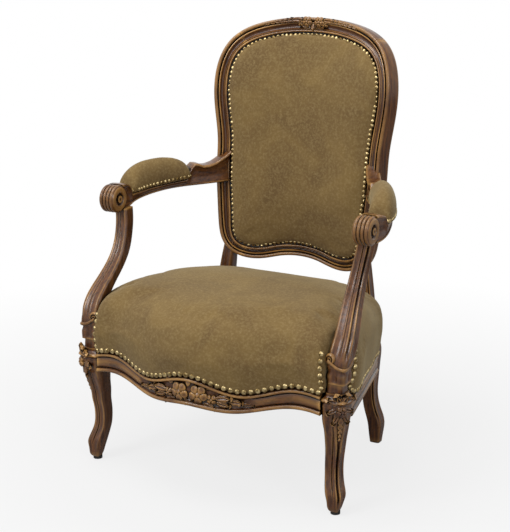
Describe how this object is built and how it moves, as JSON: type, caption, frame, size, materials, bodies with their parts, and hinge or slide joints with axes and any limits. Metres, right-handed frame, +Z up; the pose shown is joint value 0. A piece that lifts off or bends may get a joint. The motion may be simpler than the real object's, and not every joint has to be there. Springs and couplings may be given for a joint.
{
  "type": "upholstered armchair",
  "caption": "Low show-wood armchair with a carved frame, cabriole legs, scrolled arms, a sprung velvet seat, a padded velvet back and padded arms.",
  "frame": {"origin": "on the floor, under the middle of the chair's bounding box", "axes": "+X to the viewer's right when facing the chair, -Y out of the front of the seat, +Z up"},
  "size_m": [0.663, 0.6014, 0.95],
  "materials": {
    "stained_walnut": "hand-rubbed satin varnish over a walnut stain, dark in the hollows",
    "beech": "bare beech",
    "velvet": "olive cut velvet",
    "antique_brass": "antiqued domed nail heads",
    "glide_black": "black, moulded",
    "steel": "drawn wire, bare",
    "jute_webbing": "woven jute",
    "hessian": "woven hessian",
    "black_cambric": "black cotton cambric"
  },
  "bodies": {
    "root": {"arm_dowels": "beech", "arm_left": "stained_walnut", "arm_pad_left": "velvet", "arm_pad_right": "velvet", "arm_right": "stained_walnut", "arm_support_left": "stained_walnut", "arm_support_right": "stained_walnut", "back_frame_dowels": "beech", "back_pad": "velvet", "back_panel": "velvet", "back_webbing": "jute_webbing", "corner_block_screws": "steel", "crest_rail": "stained_walnut", "cross_webbing": "jute_webbing", "dust_cover": "black_cambric", "front_corner_block_left": "beech", "front_corner_block_right": "beech", "front_glide_left": "glide_black", "front_glide_right": "glide_black", "front_leg_left": "stained_walnut", "front_leg_right": "stained_walnut", "front_rail": "stained_walnut", "long_webbing": "jute_webbing", "lower_back_rail": "stained_walnut", "rear_corner_block_left": "beech", "rear_corner_block_right": "beech", "rear_leg_left": "stained_walnut", "rear_leg_right": "stained_walnut", "rear_rail": "stained_walnut", "seat_cushion": "velvet", "seat_springs": "steel", "side_rail_left": "stained_walnut", "side_rail_right": "stained_walnut", "spring_hessian": "hessian", "tenon_pegs": "beech"}
  },
  "joints": []
}
